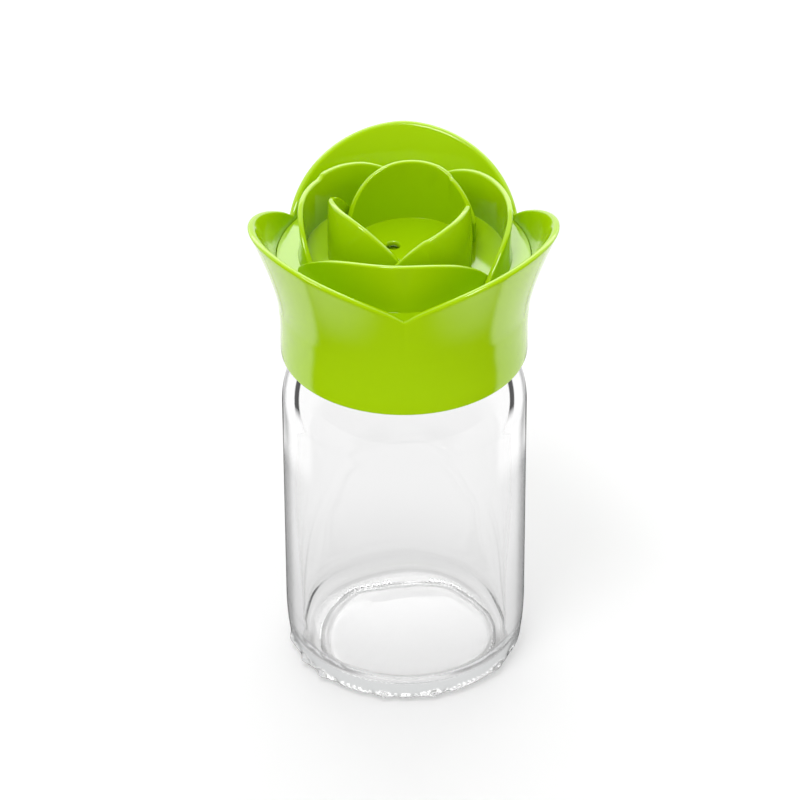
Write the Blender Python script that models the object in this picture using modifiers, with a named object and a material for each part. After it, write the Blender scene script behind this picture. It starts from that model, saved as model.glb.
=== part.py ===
"""Salt shaker with a rose cap.

A turned glass jar carries a sealing ring and a screwed outer cap whose flared skirt rises into
three outer petals. A dial with three middle petals and a three petal bud turns on the cap's deck:
its salt holes stand over the deck's holes when open, and between them when closed.
Metres, +Z up, origin on the jar's axis at the plane that the jar stands on.
"""

import math

import bmesh
import bpy
import numpy as np
from mathutils import Matrix

# Jar
JAR_RADIUS = 0.0250
JAR_WALL = 0.0026
JAR_STRAIGHT_TOP = 0.0605
SHOULDER_ARC = 0.0165
SHOULDER_FILLET = 0.0015
HEEL_HEIGHT = 0.0120
HEEL_INSET = 0.0013
HEEL_ROUND_HEIGHT = 0.0024
HEEL_ROUND_WIDTH = 0.0021
FOOT_WIDTH = 0.0026
FOOT_RECESS = 0.0005
JAR_BASE_THICKNESS = 0.0026
BASE_CORNER = 0.0050
NECK_RADIUS = 0.0212
NECK_WALL = 0.0028
NECK_LENGTH = 0.0177
LIP_ROUND = 0.0008

# Clearances
SEAT_GAP = 0.0003
RUN_GAP = 0.0003
THREAD_SPACE = 0.0024

# Sealing ring
SEAL_THICKNESS = 0.0020
SEAL_OVERHANG = 0.0007

# Outer cap
SKIRT_WALL = 0.0015
SKIRT_DEPTH = 0.0185
SKIRT_STRAIGHT = 0.0116
SKIRT_SWELL = 0.00035
SKIRT_EDGE_ROUND = 0.0004
DECK_THICKNESS = 0.0020
CUP_WALL_AT_NOTCH = 0.00113
CUP_RIM_WALL = 0.00145
NOTCH_HEIGHT = 0.0007
OUTER_PETAL_HEIGHT = 0.0105
OUTER_PETAL_ROUND = 1.707
OUTER_PETAL_SHARP = 0.922
FLARE_PER_HEIGHT = 0.408
FLARE_CURVE = 13.0
FLARE_POWER = 1.33

# The outer rim's rounding, as shares of its wall: the crown's outer corner, then its inner one
RIM_CROWN = 0.35
RIM_OUTER_IN = 0.25
RIM_INNER_BACK = 0.20
RIM_INNER_RISE = 0.10
RIM_INNER_TOP = 0.40

# Dial
DIAL_RADIUS = 0.0253
DIAL_FLOOR = 0.0013
DIAL_REST_TURN = math.radians(-6.5)
DIAL_TRAVEL = math.radians(60.0)
MIDDLE_WAIST_RADIUS = 0.0212
MIDDLE_WAIST_HEIGHT = 0.0044
MIDDLE_WAIST_CURVE = 16.0
MIDDLE_END_HEIGHT = 0.00046
MIDDLE_PETAL_HEIGHT = 0.0102
MIDDLE_PETAL_ROUND = 2.91
MIDDLE_PETAL_SHARP = 1.12
MIDDLE_SPIRAL = 0.00065
MIDDLE_WALL = 0.0011
BUD_BELLY_RADIUS = 0.01450
BUD_BELLY_HEIGHT = 0.0035
BUD_BELLY_CURVE = -6.0
BUD_END_HEIGHT = 0.0043
BUD_PETAL_HEIGHT = 0.00935
BUD_PETAL_ROUND = 2.27
BUD_PETAL_SHARP = 0.856
BUD_SPIRAL = 0.00096
BUD_WALL = 0.0010
PETAL_REACH = 1.12
PETAL_ROOT = 0.0006
PETAL_RIM_ROUND = 0.4

# Salt holes, at the place of the one that the bud leaves in view
HOLE_COUNT = 3
HOLE_RADIUS = 0.0013
HOLE_CIRCLE = 0.0039
HOLE_ANGLE = math.radians(123.0)
DECK_HOLE_SPREAD = 0.0003

# Snap pin that holds the dial, and the lug that stops its turn
PIN_RADIUS = 0.0016
PIN_BARB = 0.0006
PIN_BARB_HEIGHT = 0.0007
PIN_TIP_HEIGHT = 0.0012
PIN_TIP_RADIUS = 0.0010
PIN_SLIT = 0.0007
STOP_CIRCLE = 0.0175
STOP_WIDTH = 0.0024
STOP_DEPTH = 0.0010
STOP_ANGLE = math.radians(270.0)
STOP_HALF_ANGLE = math.radians(4.0)

# Facets
JAR_SEGMENTS = 64
CUP_SEGMENTS = 72
HOLE_SEGMENTS = 20
CORNER_STEPS = 5
SHOULDER_STEPS = 7
FILLET_STEPS = 2
HEEL_STEPS = 4
CUP_OUTER_STEPS = 8
CUP_INNER_STEPS = 5
PETAL_STEPS = 16
PETAL_HEIGHT_STEPS = 4
GROOVE_STEPS = 12
MERGE_DISTANCE = 0.000002
SHARP_ANGLE = math.radians(40.0)

PETALS = 3
PETAL_SPAN = 2.0 * math.pi / PETALS
HALF_PETAL = PETAL_SPAN / 2.0
OUTER_FIRST = math.radians(90.0)
MIDDLE_FIRST = OUTER_FIRST + HALF_PETAL

GREEN = (0.34, 0.55, 0.003)
GLASS = (0.93, 0.96, 0.96)
SEAL_WHITE = (0.86, 0.86, 0.83)

# Heights worked out from the sizes above
shoulder_middle = JAR_RADIUS - SHOULDER_ARC
lip_root = JAR_STRAIGHT_TOP + math.sqrt(
    (SHOULDER_ARC + SHOULDER_FILLET) ** 2 - (NECK_RADIUS + SHOULDER_FILLET - shoulder_middle) ** 2
)
lip_z = lip_root + NECK_LENGTH
seal_z = lip_z + SEAT_GAP
deck_z = seal_z + SEAL_THICKNESS + SEAT_GAP
deck_top = deck_z + DECK_THICKNESS
dial_z = deck_top + SEAT_GAP
floor_z = dial_z + DIAL_FLOOR
skirt_z = deck_z - SKIRT_DEPTH
notch_z = floor_z + NOTCH_HEIGHT
flare_z = skirt_z + SKIRT_STRAIGHT

# Radii worked out from the sizes above
cap_bore = NECK_RADIUS + THREAD_SPACE
skirt_radius = cap_bore + SKIRT_WALL
well_radius = DIAL_RADIUS + RUN_GAP
notch_radius = well_radius + CUP_WALL_AT_NOTCH
pin_hole = PIN_RADIUS + RUN_GAP


def material(name, colour, roughness, transmission=0.0):
    """A Principled material with one colour."""
    made = bpy.data.materials.new(name)
    made.use_nodes = True
    shader = made.node_tree.nodes["Principled BSDF"]
    shader.inputs["Base Color"].default_value = (*colour, 1.0)
    shader.inputs["Roughness"].default_value = roughness
    shader.inputs["Metallic"].default_value = 0.0
    shader.inputs["Transmission Weight"].default_value = transmission
    made.diffuse_color = (*colour, 1.0)
    return made


def place(name, mesh, collection, surface=None):
    """Puts a mesh in a collection as a named object."""
    made = bpy.data.objects.new(name, mesh)
    collection.objects.link(made)
    if surface:
        mesh.materials.append(surface)
    return made


def arc(middle, radius, start, end, steps):
    """Points on a circle in the profile plane, from one angle to another, both ends included."""
    angles = np.linspace(start, end, steps + 1)
    return [(middle[0] + radius * math.cos(a), middle[1] + radius * math.sin(a)) for a in angles]


def turned(name, points, closed, segments, collection, surface=None):
    """A profile of (radius, height) points, turned about the Z axis with a Screw modifier."""
    mesh = bpy.data.meshes.new(name)
    count = len(points)
    edges = [(i, i + 1) for i in range(count - 1)]
    if closed:
        edges.append((count - 1, 0))
    mesh.from_pydata([(r, 0.0, z) for r, z in points], edges, [])
    made = place(name, mesh, collection, surface)
    screw = made.modifiers.new("Turn", "SCREW")
    screw.axis = "Z"
    screw.angle = 2.0 * math.pi
    screw.steps = segments
    screw.render_steps = segments
    screw.use_merge_vertices = True
    screw.merge_threshold = 5.0 * MERGE_DISTANCE
    screw.use_smooth_shade = True
    return made


def baked(shape):
    """Turns an object's modifiers into its mesh and points its faces outwards."""
    depsgraph = bpy.context.evaluated_depsgraph_get()
    mesh = bpy.data.meshes.new_from_object(shape.evaluated_get(depsgraph))
    work = bmesh.new()
    work.from_mesh(mesh)
    bmesh.ops.remove_doubles(work, verts=work.verts, dist=MERGE_DISTANCE)
    bmesh.ops.recalc_face_normals(work, faces=work.faces)
    work.to_mesh(mesh)
    work.free()
    shape.modifiers.clear()
    shape.data = mesh
    return shape


def lofted(name, loops, around, collection, surface=None):
    """Skins a row of like loops: around joins the last loop to the first, otherwise both ends close."""
    rings, count = len(loops), len(loops[0])
    vertices = [point for loop in loops for point in loop]
    faces = []
    for i in range(rings if around else rings - 1):
        for j in range(count):
            k, n = (i + 1) % rings, (j + 1) % count
            faces.append((i * count + j, i * count + n, k * count + n, k * count + j))
    if not around:
        faces.append(tuple(range(count)))
        faces.append(tuple(range((rings - 1) * count, rings * count)))
    mesh = bpy.data.meshes.new(name)
    mesh.from_pydata(vertices, [], faces)
    work = bmesh.new()
    work.from_mesh(mesh)
    bmesh.ops.recalc_face_normals(work, faces=work.faces)
    work.to_mesh(mesh)
    work.free()
    mesh.shade_smooth()
    mesh.set_sharp_from_angle(angle=SHARP_ANGLE)
    return place(name, mesh, collection, surface)


def cylinder(name, radius, low, high, at, collection):
    """An upright cylinder between two heights."""
    mesh = bpy.data.meshes.new(name)
    work = bmesh.new()
    bmesh.ops.create_cone(
        work, cap_ends=True, segments=HOLE_SEGMENTS, radius1=radius, radius2=radius, depth=high - low
    )
    work.to_mesh(mesh)
    work.free()
    mesh.transform(Matrix.Translation((at[0], at[1], (low + high) / 2.0)))
    return place(name, mesh, collection)


def sector(name, inner, outer, low, high, start, end, steps, collection):
    """An arc shaped block between two radii, two heights and two angles."""
    loops = []
    for angle in np.linspace(start, end, steps + 1):
        across, along = math.cos(angle), math.sin(angle)
        corners = ((inner, low), (outer, low), (outer, high), (inner, high))
        loops.append([(r * across, r * along, z) for r, z in corners])
    return lofted(name, loops, False, collection)


def block(name, size, at, turn, collection):
    """A box of the given size, turned about Z."""
    mesh = bpy.data.meshes.new(name)
    work = bmesh.new()
    bmesh.ops.create_cube(work, size=1.0)
    work.to_mesh(mesh)
    work.free()
    mesh.transform(Matrix.Diagonal((*size, 1.0)))
    mesh.transform(Matrix.Translation(at) @ Matrix.Rotation(turn, 4, "Z"))
    return place(name, mesh, collection)


def combine(target, other, operation):
    """Joins or cuts with an EXACT Boolean, and leaves the other shape as a hidden guide."""
    change = target.modifiers.new(f"{operation.title()} {other.name}", "BOOLEAN")
    change.operation = operation
    change.solver = "EXACT"
    change.object = other
    other.hide_render = True
    other.display_type = "WIRE"


def jar_points():
    """The jar's profile, from the inside of its base up to the lip and down its outer side."""
    inner = JAR_RADIUS - JAR_WALL
    inner_neck = NECK_RADIUS - NECK_WALL
    inner_arc = SHOULDER_ARC - JAR_WALL
    inner_reach = inner_neck + SHOULDER_FILLET - shoulder_middle
    inner_join = math.acos(inner_reach / (inner_arc + SHOULDER_FILLET))
    outer_reach = NECK_RADIUS + SHOULDER_FILLET - shoulder_middle
    outer_join = math.acos(outer_reach / (SHOULDER_ARC + SHOULDER_FILLET))
    centre = (shoulder_middle, JAR_STRAIGHT_TOP)
    inner_root = JAR_STRAIGHT_TOP + (inner_arc + SHOULDER_FILLET) * math.sin(inner_join)
    quarter = math.pi / 2.0
    lip_inner = (inner_neck + LIP_ROUND, lip_z - LIP_ROUND)
    lip_outer = (NECK_RADIUS - LIP_ROUND, lip_z - LIP_ROUND)
    corner = (inner - BASE_CORNER, JAR_BASE_THICKNESS + BASE_CORNER)
    inside_fillet = (inner_neck + SHOULDER_FILLET, inner_root)
    outside_fillet = (NECK_RADIUS + SHOULDER_FILLET, lip_root)

    points = [(0.0, JAR_BASE_THICKNESS)]
    points += arc(corner, BASE_CORNER, -quarter, 0.0, CORNER_STEPS)
    points += arc(centre, inner_arc, 0.0, inner_join, SHOULDER_STEPS - 1)
    points += arc(inside_fillet, SHOULDER_FILLET, math.pi + inner_join, math.pi, FILLET_STEPS)[1:]
    points += arc(lip_inner, LIP_ROUND, math.pi, quarter, FILLET_STEPS)
    points += arc(lip_outer, LIP_ROUND, quarter, 0.0, FILLET_STEPS)
    points += arc(outside_fillet, SHOULDER_FILLET, math.pi, math.pi + outer_join, FILLET_STEPS)
    points += arc(centre, SHOULDER_ARC, outer_join, 0.0, SHOULDER_STEPS)[1:]
    for share in np.linspace(0.0, 1.0, HEEL_STEPS + 1):
        height = HEEL_HEIGHT + share * (HEEL_ROUND_HEIGHT - HEEL_HEIGHT)
        points.append((JAR_RADIUS - HEEL_INSET * share**2, height))
    foot_radius = JAR_RADIUS - HEEL_INSET - HEEL_ROUND_WIDTH
    for turn in np.linspace(0.0, quarter, HEEL_STEPS + 1)[1:]:
        radius = foot_radius + HEEL_ROUND_WIDTH * math.cos(turn)
        points.append((radius, HEEL_ROUND_HEIGHT * (1.0 - math.sin(turn))))
    points.append((foot_radius - FOOT_WIDTH, 0.0))
    points.append((foot_radius - FOOT_WIDTH - FOOT_RECESS, FOOT_RECESS))
    points.append((0.0, FOOT_RECESS))
    return points


def build_jar(parts):
    """The glass jar: body, shoulder, plain neck and a foot ring round a shallow recess."""
    glass = material("clear_glass", GLASS, 0.03, 1.0)
    turned("glass_jar", jar_points(), False, JAR_SEGMENTS, parts, glass)


def build_seal(parts):
    """The soft ring between the jar's lip and the cap's deck."""
    low = NECK_RADIUS - NECK_WALL - SEAL_OVERHANG
    high = NECK_RADIUS + SEAL_OVERHANG
    top = seal_z + SEAL_THICKNESS
    points = [(high, top), (high, seal_z), (low, seal_z), (low, top)]
    soft = material("soft_seal", SEAL_WHITE, 0.6)
    turned("sealing_ring", points, True, JAR_SEGMENTS, parts, soft)


def outer_rim(share):
    """Radius and height of the outer petals' rim, where share is 0 at a petal's middle and 1 at a notch."""
    lobe = max(0.0, 1.0 - abs(share) ** OUTER_PETAL_ROUND) ** OUTER_PETAL_SHARP
    rise = OUTER_PETAL_HEIGHT * lobe
    flare = FLARE_PER_HEIGHT * rise + FLARE_CURVE * rise * rise
    return notch_radius + flare, notch_z + rise


def cup_section(share):
    """The outer cap's closed section, from the skirt's edge up, over the rim and back under the deck."""
    rim_radius, rim_z = outer_rim(share)
    swell = skirt_radius + SKIRT_SWELL
    points = [
        (skirt_radius - SKIRT_EDGE_ROUND, skirt_z),
        (skirt_radius, skirt_z + SKIRT_EDGE_ROUND),
        (skirt_radius, skirt_z + SKIRT_STRAIGHT / 2.0),
    ]
    for part in np.linspace(0.0, 1.0, CUP_OUTER_STEPS + 1):
        points.append((swell + (rim_radius - swell) * part**FLARE_POWER, flare_z + (rim_z - flare_z) * part))
    lean = math.atan2(rim_radius - swell, rim_z - flare_z)
    inner_rim = rim_radius - CUP_RIM_WALL * math.cos(lean)
    crown = rim_z + CUP_RIM_WALL * RIM_CROWN
    points.append((rim_radius - CUP_RIM_WALL * RIM_OUTER_IN, crown))
    points.append((inner_rim + CUP_RIM_WALL * RIM_INNER_BACK, crown + CUP_RIM_WALL * RIM_INNER_RISE))
    top_z = rim_z + CUP_RIM_WALL * math.sin(lean) * RIM_INNER_TOP
    for part in np.linspace(1.0, 0.0, CUP_INNER_STEPS + 1):
        radius = well_radius + (inner_rim - well_radius) * part**FLARE_POWER
        points.append((radius, floor_z + (top_z - floor_z) * part))
    points += [
        (well_radius, deck_top),
        (pin_hole, deck_top),
        (pin_hole, deck_z),
        (cap_bore, deck_z),
        (cap_bore, skirt_z),
    ]
    return points


def hole_places():
    """Centres of the salt holes, evenly spaced on their circle."""
    for i in range(HOLE_COUNT):
        angle = HOLE_ANGLE + 2.0 * math.pi * i / HOLE_COUNT
        yield i, (HOLE_CIRCLE * math.cos(angle), HOLE_CIRCLE * math.sin(angle))


def build_cap(parts, cutters):
    """The outer cap: a loft whose rim rises and flares into the petals, with its deck cut through."""
    loops = []
    for i in range(CUP_SEGMENTS):
        angle = OUTER_FIRST + 2.0 * math.pi * i / CUP_SEGMENTS
        turn = (angle - OUTER_FIRST + HALF_PETAL) % PETAL_SPAN - HALF_PETAL
        across, along = math.cos(angle), math.sin(angle)
        loops.append([(r * across, r * along, z) for r, z in cup_section(turn / HALF_PETAL)])
    green = material("cap_plastic", GREEN, 0.22)
    cap = lofted("outer_cap", loops, True, parts, green)
    for i, at in hole_places():
        low, high = deck_z - DECK_THICKNESS, deck_top + DECK_THICKNESS
        hole = cylinder(f"deck_hole_{i + 1}", HOLE_RADIUS + DECK_HOLE_SPREAD, low, high, at, cutters)
        combine(cap, hole, "DIFFERENCE")
    clear = RUN_GAP / STOP_CIRCLE
    groove = sector(
        "stop_groove",
        STOP_CIRCLE - STOP_WIDTH / 2.0 - RUN_GAP,
        STOP_CIRCLE + STOP_WIDTH / 2.0 + RUN_GAP,
        deck_top - STOP_DEPTH,
        deck_top + STOP_DEPTH,
        STOP_ANGLE - DIAL_TRAVEL - STOP_HALF_ANGLE - clear,
        STOP_ANGLE + STOP_HALF_ANGLE + clear,
        GROOVE_STEPS,
        cutters,
    )
    combine(cap, groove, "DIFFERENCE")


def petal_shape(first, index, radius_at, rim_at, wall, spiral, root):
    """A curved petal as a closed sheet: its clockwise end spirals outwards past the next petal."""
    loops = []
    for place_along in np.linspace(-PETAL_REACH, PETAL_REACH, PETAL_STEPS + 1):
        angle = first + index * PETAL_SPAN + DIAL_REST_TURN + HALF_PETAL * place_along
        rim = rim_at(abs(place_along) / PETAL_REACH)
        heights = np.linspace(root, rim - wall * PETAL_RIM_ROUND, PETAL_HEIGHT_STEPS + 1)
        outside = [(radius_at(z) - spiral * place_along, z) for z in heights]
        middle = (radius_at(rim) - spiral * place_along - wall * 0.5, rim)
        inside = [(r - wall, z) for r, z in reversed(outside)]
        across, along = math.cos(angle), math.sin(angle)
        loops.append([(r * across, r * along, z) for r, z in [*outside, middle, *inside]])
    return loops


def middle_radius(z):
    """Outer face of a middle petal: drawn in to a waist, wider at the floor and at the rim."""
    return MIDDLE_WAIST_RADIUS + MIDDLE_WAIST_CURVE * (z - floor_z - MIDDLE_WAIST_HEIGHT) ** 2


def middle_rim(share):
    """Rim height of a middle petal, where share is 0 at its middle and 1 at its ends."""
    lobe = max(0.0, 1.0 - share**MIDDLE_PETAL_ROUND) ** MIDDLE_PETAL_SHARP
    return floor_z + MIDDLE_END_HEIGHT + MIDDLE_PETAL_HEIGHT * lobe


def bud_radius(z):
    """Outer face of a bud petal: fullest at the belly, drawn in towards its rim."""
    return BUD_BELLY_RADIUS + BUD_BELLY_CURVE * (z - floor_z - BUD_BELLY_HEIGHT) ** 2


def bud_rim(share):
    """Rim height of a bud petal, where share is 0 at its middle and 1 at its ends."""
    lobe = max(0.0, 1.0 - share**BUD_PETAL_ROUND) ** BUD_PETAL_SHARP
    return floor_z + BUD_END_HEIGHT + BUD_PETAL_HEIGHT * lobe


def dial_points():
    """The dial's floor and its barbed pin, from the middle of the floor out and down to the pin's tip."""
    barb_top = deck_z - SEAT_GAP
    barb_low = barb_top - PIN_BARB_HEIGHT
    return [
        (0.0, floor_z),
        (DIAL_RADIUS, floor_z),
        (DIAL_RADIUS, dial_z),
        (PIN_RADIUS, dial_z),
        (PIN_RADIUS, barb_top),
        (PIN_RADIUS + PIN_BARB, barb_top),
        (PIN_RADIUS + PIN_BARB, barb_low),
        (PIN_TIP_RADIUS, barb_low - PIN_TIP_HEIGHT),
        (0.0, barb_low - PIN_TIP_HEIGHT),
    ]


def build_dial(parts, cutters):
    """The rose dial: floor, snap pin, stop lug, middle petals and bud, with the salt holes cut through."""
    green = material("rose_plastic", GREEN, 0.2)
    dial = baked(turned("rose_dial", dial_points(), False, CUP_SEGMENTS, parts, green))
    root = floor_z - PETAL_ROOT
    for i in range(PETALS):
        loops = petal_shape(MIDDLE_FIRST, i, middle_radius, middle_rim, MIDDLE_WALL, MIDDLE_SPIRAL, root)
        combine(dial, lofted(f"middle_petal_{i + 1}", loops, False, cutters), "UNION")
    for i in range(PETALS):
        loops = petal_shape(OUTER_FIRST, i, bud_radius, bud_rim, BUD_WALL, BUD_SPIRAL, root)
        combine(dial, lofted(f"bud_petal_{i + 1}", loops, False, cutters), "UNION")
    lug = sector(
        "stop_lug",
        STOP_CIRCLE - STOP_WIDTH / 2.0,
        STOP_CIRCLE + STOP_WIDTH / 2.0,
        deck_top - STOP_DEPTH + SEAT_GAP,
        dial_z + DIAL_FLOOR / 2.0,
        STOP_ANGLE - STOP_HALF_ANGLE,
        STOP_ANGLE + STOP_HALF_ANGLE,
        2,
        cutters,
    )
    combine(dial, lug, "UNION")
    for i, at in hole_places():
        low, high = dial_z - DIAL_FLOOR, floor_z + DIAL_FLOOR
        hole = cylinder(f"salt_hole_{i + 1}", HOLE_RADIUS, low, high, at, cutters)
        combine(dial, hole, "DIFFERENCE")
    pin_length = dial_z - deck_z + SEAT_GAP + PIN_BARB_HEIGHT + PIN_TIP_HEIGHT
    barb_width = 2.0 * (PIN_RADIUS + PIN_BARB)
    slit_size = (PIN_SLIT, 2.0 * barb_width, pin_length)
    slit_at = (0.0, 0.0, dial_z - RUN_GAP - pin_length / 2.0)
    slit = block("pin_slit", slit_size, slit_at, HOLE_ANGLE, cutters)
    combine(dial, slit, "DIFFERENCE")


def main():
    """Clears the scene and builds the shaker."""
    for old in list(bpy.data.objects):
        bpy.data.objects.remove(old)
    parts = bpy.data.collections.new("salt_shaker")
    cutters = bpy.data.collections.new("cutters_and_guides")
    bpy.context.scene.collection.children.link(parts)
    bpy.context.scene.collection.children.link(cutters)
    build_jar(parts)
    build_seal(parts)
    build_cap(parts, cutters)
    build_dial(parts, cutters)


main()
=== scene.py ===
"""Salt shaker with a rose cap: fine surfaces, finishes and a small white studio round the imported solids."""

import math
from typing import NamedTuple

import bmesh
import bpy
import numpy as np
from bpy.props import FloatProperty, FloatVectorProperty, IntProperty, PointerProperty
from mathutils import Matrix, Vector


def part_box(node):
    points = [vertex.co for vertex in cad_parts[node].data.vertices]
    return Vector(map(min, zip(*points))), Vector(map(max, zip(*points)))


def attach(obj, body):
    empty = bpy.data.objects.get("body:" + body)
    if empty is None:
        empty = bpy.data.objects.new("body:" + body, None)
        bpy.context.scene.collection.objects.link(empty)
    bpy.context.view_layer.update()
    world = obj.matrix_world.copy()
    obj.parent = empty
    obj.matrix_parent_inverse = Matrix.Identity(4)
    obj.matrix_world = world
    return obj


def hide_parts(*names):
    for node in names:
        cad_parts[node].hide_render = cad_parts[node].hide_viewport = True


bl_info = {
    "name": "Rose Salt Shaker",
    "version": (1, 0, 0),
    "blender": (4, 5, 0),
    "location": "View3D > Sidebar > Shaker",
    "description": "A glass salt shaker with a screw cap and a turning rose dial",
    "category": "Add Mesh",
}

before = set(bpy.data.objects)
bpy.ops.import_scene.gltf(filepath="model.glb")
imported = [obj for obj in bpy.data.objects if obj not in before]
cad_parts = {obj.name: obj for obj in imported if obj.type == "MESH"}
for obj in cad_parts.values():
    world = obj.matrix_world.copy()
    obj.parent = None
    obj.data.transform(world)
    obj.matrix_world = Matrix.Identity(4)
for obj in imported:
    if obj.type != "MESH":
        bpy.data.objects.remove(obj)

TAU = 2.0 * math.pi
QUARTER = math.pi / 2.0
AROUND = 480

# The rose in thirds: the first petals' middles, the first salt hole, and the end of a petal in halves of a third
PETALS = 3
PETAL_SPAN = TAU / PETALS
HALF_PETAL = PETAL_SPAN / 2.0
OUTER_FIRST = QUARTER
MIDDLE_FIRST = OUTER_FIRST + HALF_PETAL
HOLE_FIRST = math.radians(123.0)
PETAL_END = 1.12

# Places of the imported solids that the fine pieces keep
SEAT_GAP = 0.0003
SEAL_LOW, SEAL_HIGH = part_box("sealing_ring")
LIP_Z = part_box("glass_jar")[1].z
DECK_Z = SEAL_HIGH.z + SEAT_GAP
SKIRT_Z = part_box("outer_cap")[0].z
PIN_TIP_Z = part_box("rose_dial")[0].z

# The stop lug: its place at rest, half its width, and the groove's travel and slack, as angles
LUG_PLACE = math.radians(270.0)
LUG_HALF = math.radians(4.0)
DIAL_TRAVEL = math.radians(60.0)
LUG_SLACK = math.radians(1.0)

# Plates with salt holes: radius of the patch that holds them, and steps round the pin in one third
PATCH = 0.0080
PIN_STEPS = 24

# Under the jar: width of the foot's flat ring, and how much of it the knurls take
FOOT_WIDTH = 0.0012
KNURL_LAND = 0.0007


def size(name, description, default):
    """A length property in metres."""
    return FloatProperty(name=name, description=description, default=default, precision=5, unit="LENGTH")


def share(name, description, default):
    """A plain number property."""
    return FloatProperty(name=name, description=description, default=default, precision=3)


def colour(name, description, default):
    """A colour property in linear light."""
    return FloatVectorProperty(
        name=name, description=description, default=default, size=3, subtype="COLOR", min=0.0, max=1.0
    )


class JarSizes(bpy.types.PropertyGroup):
    radius: size("Radius", "Outer radius of the body", 0.02508)
    wall: size("Wall", "Thickness of the body's wall", 0.0026)
    straight_top: size("Straight top", "Height where the shoulder begins", 0.0605)
    shoulder_arc: size("Shoulder arc", "Radius of the shoulder's outer curve", 0.0165)
    fillet: size("Neck fillet", "Radius where the shoulder meets the neck", 0.0015)
    heel_height: size("Heel height", "Height where the body starts to draw in", 0.0120)
    heel_inset: size("Heel inset", "How far the body draws in towards the heel", 0.0006)
    heel_round: size("Heel rounding", "Radius of the heel's lower edge", 0.0029)
    ramp: size("Ramp", "Width of the knurled slope round the recess", 0.0010)
    recess: size("Recess", "Depth of the recess at its edge", 0.0004)
    dome: size("Dome", "Further depth of the recess at its middle", 0.0005)
    base: size("Base", "Height of the floor inside", 0.0026)
    corner: size("Inner corner", "Radius between the base and the wall, inside", 0.0050)
    neck: size("Neck radius", "Outer radius of the neck", 0.0212)
    neck_wall: size("Neck wall", "Thickness of the neck's wall", 0.0028)
    lip_round: size("Lip rounding", "Radius of the lip's edges", 0.0008)
    thread_height: size("Thread height", "How far the thread stands out from the neck", 0.0013)
    thread_start: size("Thread start", "Height of the neck thread's lower end", 0.0790)
    knurl_count: IntProperty(name="Knurls", description="Pressed knurls round the recess", default=104)
    knurl_depth: size("Knurl depth", "Depth of the knurls", 0.00027)
    lump: size("Lump", "Height of the lumps along the heel", 0.00080)
    sway: size("Sway", "How far the pressed inner wall strays from a true circle", 0.00012)


class ThreadSizes(bpy.types.PropertyGroup):
    lead: size("Lead", "Rise of the thread in one turn", 0.0040)
    turns: share("Turns", "Turns of thread", 1.5)
    width: size("Ridge width", "Width of a thread ridge at its middle", 0.0016)
    flank: size("Flank", "Width of a ridge's sloping side", 0.0006)


class SealSizes(bpy.types.PropertyGroup):
    inner: size("Inner radius", "Inner radius of the ring", 0.0177)
    outer: size("Outer radius", "Outer radius of the ring", SEAL_HIGH.x)
    edge: size("Edge", "Radius of the ring's edges", 0.0003)
    bead: size("Bead", "Depth of the grooves in the ring's faces", 0.00015)


class CapSizes(bpy.types.PropertyGroup):
    bore: size("Bore", "Inner radius of the skirt", 0.0236)
    skirt: size("Skirt radius", "Outer radius of the skirt", 0.0251)
    swell: size("Swell", "How far the skirt widens below the flare", 0.00035)
    edge: size("Skirt edge", "Radius of the skirt's lower outer edge", 0.0004)
    straight: size("Straight", "Height of the skirt below the flare", 0.0116)
    deck: size("Deck", "Thickness of the deck", 0.0020)
    well: size("Well radius", "Radius of the seat that the dial turns in", 0.0256)
    notch: size("Notch", "Height of the notches over the dial's floor", 0.0007)
    petal: size("Petal height", "Rise of the outer petals over the notches", 0.0105)
    petal_round: share("Petal roundness", "Power of the petal's outline", 1.707)
    petal_sharp: share("Petal sharpness", "Second power of the petal's outline", 0.922)
    flare: share("Flare", "Widening for each unit of rise", 0.408)
    flare_curve: share("Flare curve", "Widening for each unit of rise squared, per metre", 13.0)
    flare_power: share("Flare power", "How late the flare sets in on the way up", 1.33)
    rim: size("Rim", "Thickness of the rim", 0.00145)
    crown: share("Crown", "Height of the rim's rounding, in shares of its thickness", 0.53)
    notch_rim: size("Notch rim", "Thickness of the rim at a notch", 0.00113)
    notch_round: size("Notch rounding", "Softness of the notches", 0.0004)
    thread_height: size("Thread height", "How far the thread stands out of the bore", 0.0019)


class DialSizes(bpy.types.PropertyGroup):
    radius: size("Radius", "Radius of the dial's floor", 0.02552)
    floor: size("Floor", "Thickness of the floor", 0.0013)
    edge: size("Edge", "Radius of the floor's upper edge", 0.00008)
    turn: share("Turn at rest", "Turn of the rose against the outer petals, in degrees", -6.5)
    reach: share("Petal reach", "Half the length of a petal, in sixths of a turn", PETAL_END)
    hole: size("Hole radius", "Radius of a salt hole", 0.0013)
    hole_circle: size("Hole circle", "Distance of the salt holes from the axis", 0.0039)
    hole_edge: size("Hole edge", "Rounding of a salt hole's edges", 0.00045)
    deck_hole_spread: size("Deck hole spread", "How much wider the deck's holes are, in radius", 0.0003)
    pin: size("Pin radius", "Radius of the snap pin", 0.0016)
    barb: size("Barb", "How far the pin's barb stands out", 0.0006)
    slit: size("Slit", "Width of the slit in the pin", 0.0007)
    stop_circle: size("Stop circle", "Distance of the stop lug from the axis", 0.0175)
    stop_width: size("Stop width", "Width of the stop lug", 0.0024)
    stop_depth: size("Stop depth", "Depth of the groove that the lug runs in", 0.0010)
    foot: size("Petal foot", "Radius where a petal meets the floor", 0.00008)
    middle_wall: size("Middle petal wall", "Thickness of a middle petal", 0.0011)
    bud_wall: size("Bud petal wall", "Thickness of a bud petal", 0.00105)


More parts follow.
